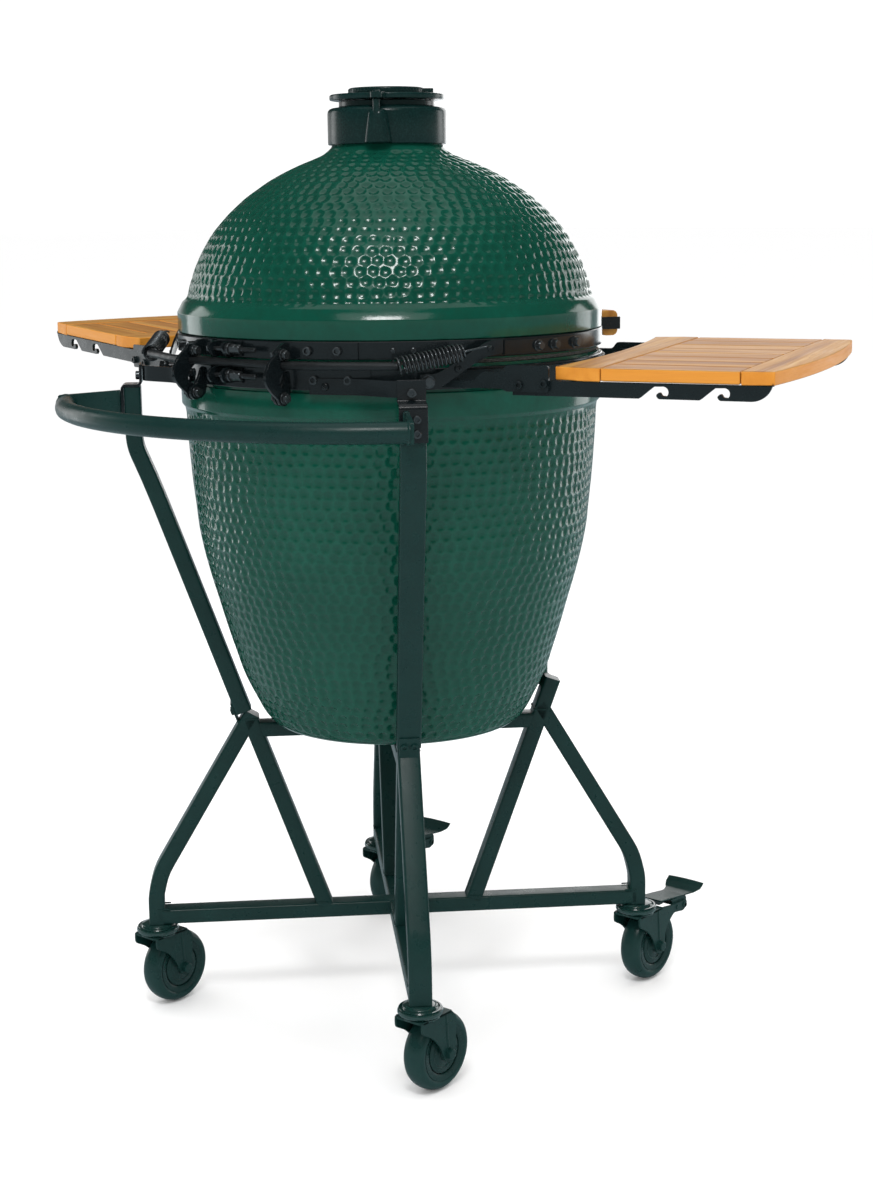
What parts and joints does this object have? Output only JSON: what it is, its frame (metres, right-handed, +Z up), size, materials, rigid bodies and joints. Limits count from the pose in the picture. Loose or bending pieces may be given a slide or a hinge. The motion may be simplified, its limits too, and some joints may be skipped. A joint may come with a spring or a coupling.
{
  "type": "kamado ceramic grill",
  "caption": "Egg-shaped green ceramic charcoal grill with a sprung hinged lid, vent cap and draft door, in a wheeled steel frame with wooden side tables and a push handle.",
  "frame": {"origin": "centre of the object's bounding box in plan, at the floor", "axes": "+Z up, +Y towards the lid hinge and push handle, -Y towards the cook, the draft door and the lid handle, +X to the cook's right"},
  "size_m": [1.1877, 0.7846, 1.2015],
  "materials": {
    "green_ceramic": "deep green glaze over a dimpled, pebbled skin, glossy",
    "fireclay": "unglazed pale fireclay, matte and grainy",
    "cast_iron": "satin dark green-black enamel on cast iron",
    "stainless": "brushed stainless steel",
    "felt": "dense grey woven felt",
    "black_paint": "semi-gloss black paint",
    "dark_bar": "satin dark grey-green powder coat",
    "green_powder": "satin dark green powder coat",
    "acacia": "oiled acacia, golden brown with darker edges",
    "wheel_rubber": "dark green-black rubber tread on a moulded wheel"
  },
  "bodies": {
    "stand": {"base_shell": "green_ceramic", "draft_door_frame": "stainless", "firebox": "fireclay", "fire_ring": "fireclay", "fire_grate": "cast_iron", "cooking_grid": "stainless", "lower_gasket": "felt", "lower_band": "black_paint", "hinge_lower_bracket": "black_paint", "spring_arm_left": "black_paint", "spring_arm_right": "black_paint", "spring_left": "black_paint", "spring_right": "black_paint", "nest_frame_a": "green_powder", "nest_frame_b": "green_powder", "upright_left": "green_powder", "upright_right": "green_powder", "leg_bracket_left": "black_paint", "leg_bracket_right": "black_paint", "hinge_strap_left": "black_paint", "hinge_strap_right": "black_paint", "push_handle": "green_powder", "table_left_bracket": "dark_bar", "table_right_bracket": "dark_bar"},
    "links": {"hinge_link_left": "black_paint", "hinge_link_right": "black_paint", "hinge_spring_rod": "black_paint"},
    "lid": {"dome_shell": "green_ceramic", "upper_band": "black_paint", "upper_gasket": "felt", "hinge_upper_bracket": "black_paint", "lid_handle_bracket": "dark_bar", "lid_handle_grip": "acacia", "vent_cap_ring": "cast_iron", "thermometer": "stainless"},
    "vent_disc": {"vent_disc": "cast_iron"},
    "vent_dial": {"vent_dial": "cast_iron"},
    "draft_door": {"draft_door": "stainless"},
    "draft_screen": {"draft_screen": "stainless"},
    "table_right": {"table_right_inner_board": "acacia", "table_right_slats": "acacia", "table_right_outer_board": "acacia", "table_right_bar_front": "dark_bar", "table_right_bar_rear": "dark_bar"},
    "table_left": {"table_left_inner_board": "acacia", "table_left_slats": "acacia", "table_left_outer_board": "acacia", "table_left_bar_front": "dark_bar", "table_left_bar_rear": "dark_bar"},
    "fork_rear_right": {"caster_fork_rear_right": "green_powder"},
    "wheel_rear_right": {"caster_wheel_rear_right": "wheel_rubber"},
    "fork_rear_left": {"caster_fork_rear_left": "green_powder"},
    "wheel_rear_left": {"caster_wheel_rear_left": "wheel_rubber"},
    "fork_front_right": {"caster_fork_front_right": "green_powder"},
    "wheel_front_right": {"caster_wheel_front_right": "wheel_rubber"},
    "pedal_front_right": {"brake_pedal_front_right": "green_powder"},
    "fork_front_left": {"caster_fork_front_left": "green_powder"},
    "wheel_front_left": {"caster_wheel_front_left": "wheel_rubber"},
    "pedal_front_left": {"brake_pedal_front_left": "green_powder"}
  },
  "joints": [
    {"name": "link_swing", "type": "hinge", "parent": "stand", "child": "links", "pos_m": [0.0004, 0.24446, 0.838], "axis": [-1, 0, 0], "range_deg": [0, 20], "deforming": ["spring_left", "spring_right"]},
    {"name": "lid_hinge", "type": "hinge", "parent": "links", "child": "lid", "pos_m": [0.0004, 0.24446, 0.888], "axis": [-1, 0, 0], "range_deg": [0, 55]},
    {"name": "vent_disc_swing", "type": "hinge", "parent": "lid", "child": "vent_disc", "pos_m": [-0.04358, 0.03485, 1.188], "axis": [0, 0, 1], "range_deg": [0, 100]},
    {"name": "vent_dial_turn", "type": "hinge", "parent": "vent_disc", "child": "vent_dial", "pos_m": [0.0004, -0.03554, 1.197], "axis": [0, 0, 1], "range_deg": [0, 36]},
    {"name": "draft_door_slide", "type": "hinge", "parent": "stand", "child": "draft_door", "pos_m": [0.0004, -0.03554, 0.453], "axis": [0, 0, 1], "range_deg": [0, 19]},
    {"name": "draft_screen_slide", "type": "hinge", "parent": "stand", "child": "draft_screen", "pos_m": [0.0004, -0.03554, 0.453], "axis": [0, 0, 1], "range_deg": [-19, 0]},
    {"name": "table_right_fold", "type": "hinge", "parent": "stand", "child": "table_right", "pos_m": [0.28109, -0.11603, 0.856], "axis": [0.2756, 0.9613, 0], "range_deg": [0, 88]},
    {"name": "table_left_fold", "type": "hinge", "parent": "stand", "child": "table_left", "pos_m": [-0.28029, -0.11603, 0.856], "axis": [0.2756, -0.9613, 0], "range_deg": [0, 88]},
    {"name": "swivel_rear_right", "type": "hinge", "parent": "stand", "child": "fork_rear_right", "pos_m": [0.23021, 0.19427, 0.108], "axis": [0, 0, 1], "continuous": true},
    {"name": "roll_rear_right", "type": "hinge", "parent": "fork_rear_right", "child": "wheel_rear_right", "pos_m": [0.23021, 0.16627, 0.049], "axis": [1, 0, 0], "continuous": true},
    {"name": "swivel_rear_left", "type": "hinge", "parent": "stand", "child": "fork_rear_left", "pos_m": [-0.22941, 0.19427, 0.108], "axis": [0, 0, 1], "continuous": true},
    {"name": "roll_rear_left", "type": "hinge", "parent": "fork_rear_left", "child": "wheel_rear_left", "pos_m": [-0.22941, 0.16627, 0.049], "axis": [1, 0, 0], "continuous": true},
    {"name": "swivel_front_right", "type": "hinge", "parent": "stand", "child": "fork_front_right", "pos_m": [0.23021, -0.26535, 0.108], "axis": [0, 0, 1], "continuous": true},
    {"name": "roll_front_right", "type": "hinge", "parent": "fork_front_right", "child": "wheel_front_right", "pos_m": [0.23021, -0.29335, 0.049], "axis": [1, 0, 0], "continuous": true},
    {"name": "brake_front_right", "type": "hinge", "parent": "fork_front_right", "child": "pedal_front_right", "pos_m": [0.23021, -0.35335, 0.092], "axis": [1, 0, 0], "range_deg": [0, 7]},
    {"name": "swivel_front_left", "type": "hinge", "parent": "stand", "child": "fork_front_left", "pos_m": [-0.22941, -0.26535, 0.108], "axis": [0, 0, 1], "continuous": true},
    {"name": "roll_front_left", "type": "hinge", "parent": "fork_front_left", "child": "wheel_front_left", "pos_m": [-0.22941, -0.29335, 0.049], "axis": [1, 0, 0], "continuous": true},
    {"name": "brake_front_left", "type": "hinge", "parent": "fork_front_left", "child": "pedal_front_left", "pos_m": [-0.22941, -0.35335, 0.092], "axis": [1, 0, 0], "range_deg": [0, 7]}
  ],
  "couplings": [
    {"joint": "link_swing", "follows": "lid_hinge", "ratio": 0.3636}
  ]
}
